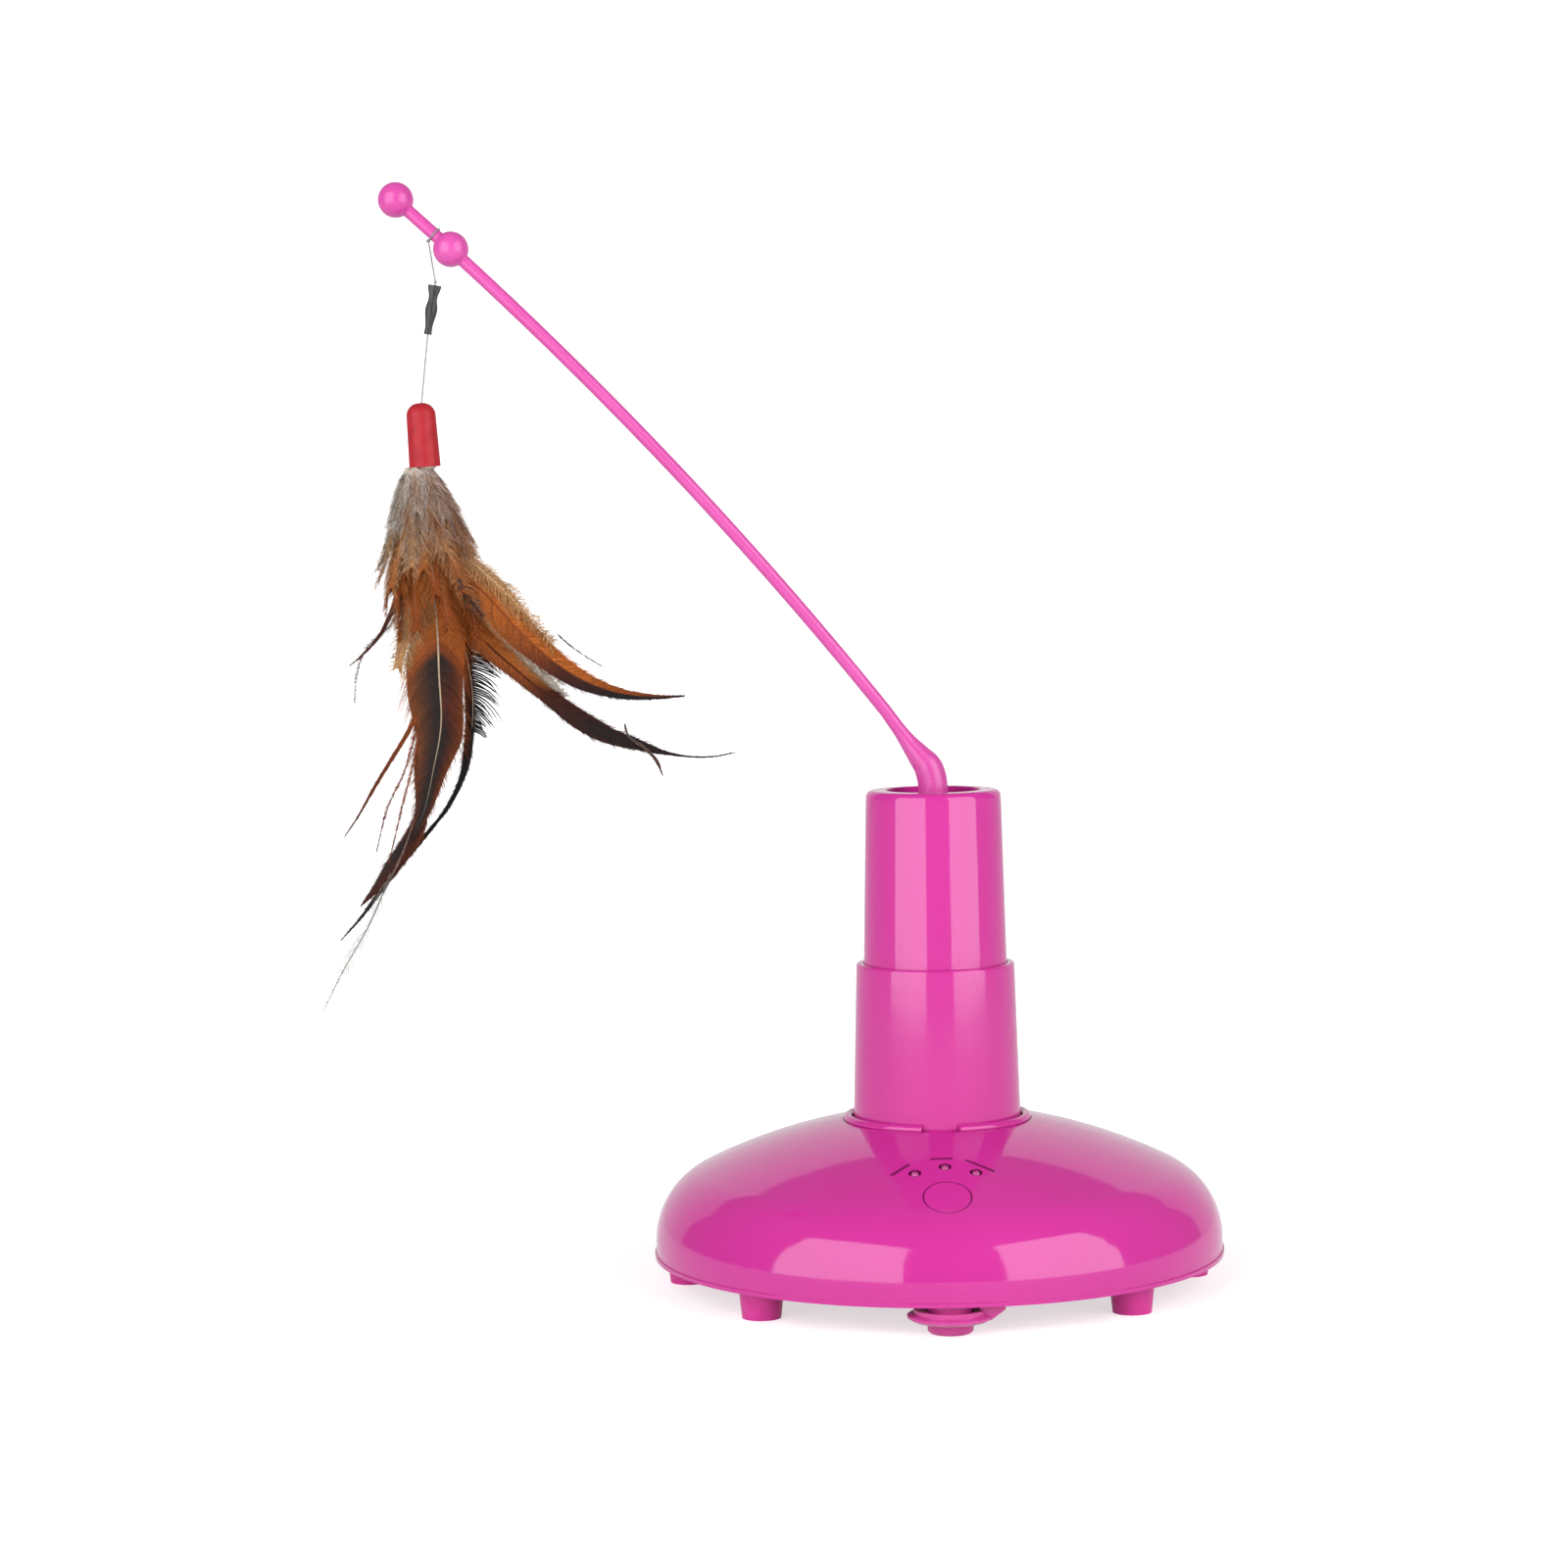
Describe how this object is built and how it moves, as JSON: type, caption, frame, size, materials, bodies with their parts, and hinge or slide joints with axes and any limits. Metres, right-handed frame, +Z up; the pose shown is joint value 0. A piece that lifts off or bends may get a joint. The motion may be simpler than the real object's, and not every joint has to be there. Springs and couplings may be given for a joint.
{
  "type": "rotating feather cat toy",
  "caption": "Battery toy with a domed pink base and a tower whose turning bowed wand swings a bunch of feathers on a short line.",
  "frame": {"origin": "on the floor, on the axis of the tower and of the round base", "axes": "+Z up along the tower's axis, -Y to the push button and the front foot, -X to the side that the wand leans to at rest"},
  "size_m": [0.3298, 0.2145, 0.4053],
  "materials": {
    "pink_gloss": "gloss",
    "pink_satin": "satin",
    "pink_wand": "satin",
    "steel": "bright",
    "spring_steel": "bright",
    "battery_can": "satin",
    "foot_rubber": "matt",
    "foot_clear_pink": "satin",
    "board_green": "satin",
    "black_plastic": "satin",
    "light_lens": "clear",
    "white_plastic": "satin",
    "motor_steel": "bright",
    "brass_tag": "bright",
    "lead_rubber": "matt",
    "line_nylon": "clear",
    "sleeve_rubber": "satin",
    "cap_rubber": "satin",
    "quill": "matt",
    "down": "soft",
    "hackle_brown": "soft",
    "hackle_dark": "soft"
  },
  "bodies": {
    "base": {"base_dome": "pink_gloss", "bottom_plate": "pink_satin", "battery_door": "pink_satin", "door_screw": "steel", "batteries": "battery_can", "battery_springs": "spring_steel", "battery_studs": "spring_steel", "rubber_feet": "foot_rubber", "front_foot": "foot_clear_pink", "housing_screws": "steel", "circuit_board": "board_green", "board_screws": "steel", "controller_chip": "black_plastic", "push_switch": "black_plastic", "indicator_lights": "light_lens", "tower_lower": "pink_gloss", "tower_screws": "steel", "joint_screws": "steel", "tower_upper": "pink_gloss", "gearbox_base": "white_plastic", "gearbox_cover": "white_plastic", "gearbox_screws": "steel", "motor_can": "motor_steel", "motor_end_cap": "white_plastic", "motor_tags": "brass_tag", "gear_pins": "steel", "output_bush": "brass_tag", "motor_leads": "lead_rubber", "battery_leads": "lead_rubber"},
    "button": {"mode_button": "pink_gloss", "switch_plunger": "black_plastic"},
    "motor_rotor": {"motor_shaft": "steel", "motor_pinion": "white_plastic"},
    "first_wheel": {"first_gear": "white_plastic"},
    "second_wheel": {"second_gear": "white_plastic"},
    "rotor": {"output_gear": "white_plastic", "output_shaft": "steel", "wand_hub": "white_plastic"},
    "wand": {"wand": "pink_wand"},
    "tie": {"line_tie": "line_nylon", "upper_line": "line_nylon"},
    "line": {"swivel_sleeve": "sleeve_rubber", "lower_line": "line_nylon"},
    "feathers": {"feather_cap": "cap_rubber", "quill_bundle": "quill", "down_tuft": "down", "long_hackle": "hackle_brown", "right_hackle_upper": "hackle_brown", "right_hackle_lower": "hackle_dark", "dark_hackle": "hackle_dark", "grey_hackle": "down", "left_hackle_upper": "hackle_dark", "left_hackle_lower": "hackle_dark"}
  },
  "joints": [
    {"name": "wand_spin", "type": "hinge", "parent": "base", "child": "rotor", "pos_m": [0, 0, 0.17], "axis": [0, 0, 1], "continuous": true},
    {"name": "second_wheel_spin", "type": "hinge", "parent": "base", "child": "second_wheel", "pos_m": [-0.00958, 0.00803, 0.142], "axis": [0, 0, 1], "continuous": true},
    {"name": "first_wheel_spin", "type": "hinge", "parent": "base", "child": "first_wheel", "pos_m": [-0.0006, 0.01349, 0.138], "axis": [0, 0, 1], "continuous": true},
    {"name": "motor_spin", "type": "hinge", "parent": "base", "child": "motor_rotor", "pos_m": [0.00637, 0.00563, 0.125], "axis": [0, 0, 1], "continuous": true},
    {"name": "wand_lift", "type": "slide", "parent": "rotor", "child": "wand", "axis": [0, 0, 1], "range_m": [0, 0.014]},
    {"name": "line_sway", "type": "hinge", "parent": "wand", "child": "tie", "pos_m": [-0.17871, 0, 0.38617], "axis": [-0.7333, 0, 0.6799], "range_deg": [-65, 65]},
    {"name": "line_swing", "type": "hinge", "parent": "tie", "child": "line", "pos_m": [-0.1787, 0, 0.36898], "axis": [0, 1, 0], "range_deg": [-12, 75]},
    {"name": "feather_twist", "type": "hinge", "parent": "line", "child": "feathers", "pos_m": [-0.1852, 0, 0.3252], "axis": [-0.0558, 0, 0.9984], "continuous": true},
    {"name": "mode_press", "type": "slide", "parent": "base", "child": "button", "axis": [0, 0, -1], "range_m": [0, 0.0008], "stiffness_N_per_m": 1500}
  ],
  "couplings": [
    {"joint": "second_wheel_spin", "follows": "wand_spin", "ratio": -4},
    {"joint": "first_wheel_spin", "follows": "wand_spin", "ratio": 12.8},
    {"joint": "motor_spin", "follows": "wand_spin", "ratio": -40.96}
  ]
}
